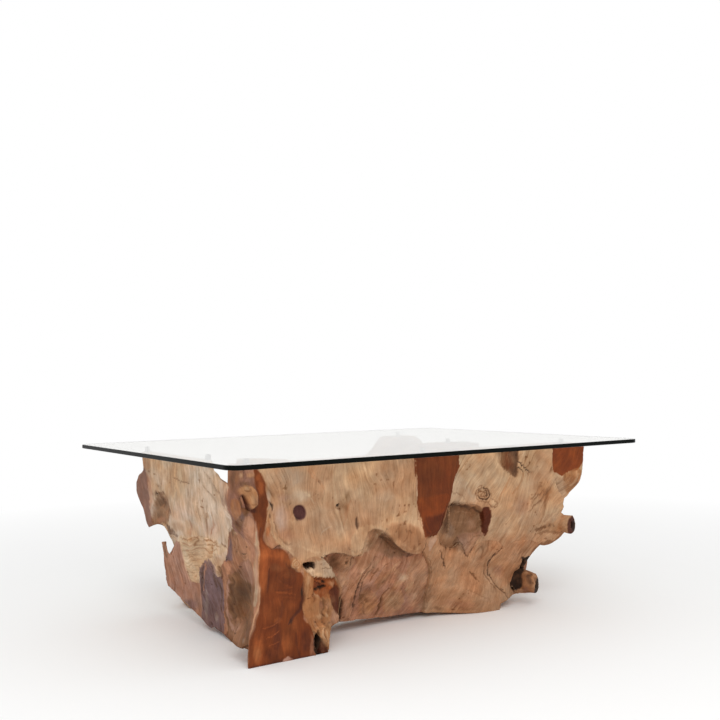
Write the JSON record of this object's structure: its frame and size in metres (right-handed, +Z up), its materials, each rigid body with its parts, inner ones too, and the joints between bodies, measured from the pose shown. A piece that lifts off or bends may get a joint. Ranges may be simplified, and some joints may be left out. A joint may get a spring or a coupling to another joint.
{
  "type": "glass top coffee table",
  "caption": "Coffee table with a clear, round-cornered glass top resting loose on a hollow base of joined weathered and polished hardwood root pieces.",
  "frame": {"origin": "on the floor, under the middle of the glass", "axes": "+X along the long side, -Y towards the long front that the picture shows, +Z up"},
  "size_m": [1.2, 0.9, 0.43],
  "materials": {
    "glass": "clear polished",
    "pads": "satin soft bumper",
    "red_heartwood": "sawn and polished red-brown heartwood with pale edges",
    "pale_root": "weathered pale root wood, brushed and lightly oiled",
    "mauve_root": "weathered mauve-brown root wood",
    "dowel_wood": "plain turned dowel"
  },
  "bodies": {
    "base": {"glass_pads": "pads", "corner_post": "red_heartwood", "gnarled_burl": "pale_root", "front_left_panel": "pale_root", "wedge_arm": "red_heartwood", "front_right_panel": "pale_root", "right_corner_block": "red_heartwood", "upper_stub_root": "pale_root", "lower_centre_root": "mauve_root", "lower_right_root": "pale_root", "lower_stub_root": "pale_root", "left_slab": "pale_root", "fibrous_wedge": "pale_root", "left_lower_plate": "mauve_root", "grey_fin_root": "mauve_root", "hollow_bowl_root": "mauve_root", "back_left_root": "pale_root", "back_centre_root": "mauve_root", "back_right_root": "pale_root", "back_corner_root": "pale_root", "right_end_slab": "pale_root", "right_end_root": "mauve_root", "joint_dowels": "dowel_wood"},
    "glass": {"glass_top": "glass"}
  },
  "joints": [
    {"name": "glass_lift", "type": "slide", "parent": "base", "child": "glass", "axis": [0, 0, 1], "range_m": [0, 0.2]}
  ]
}
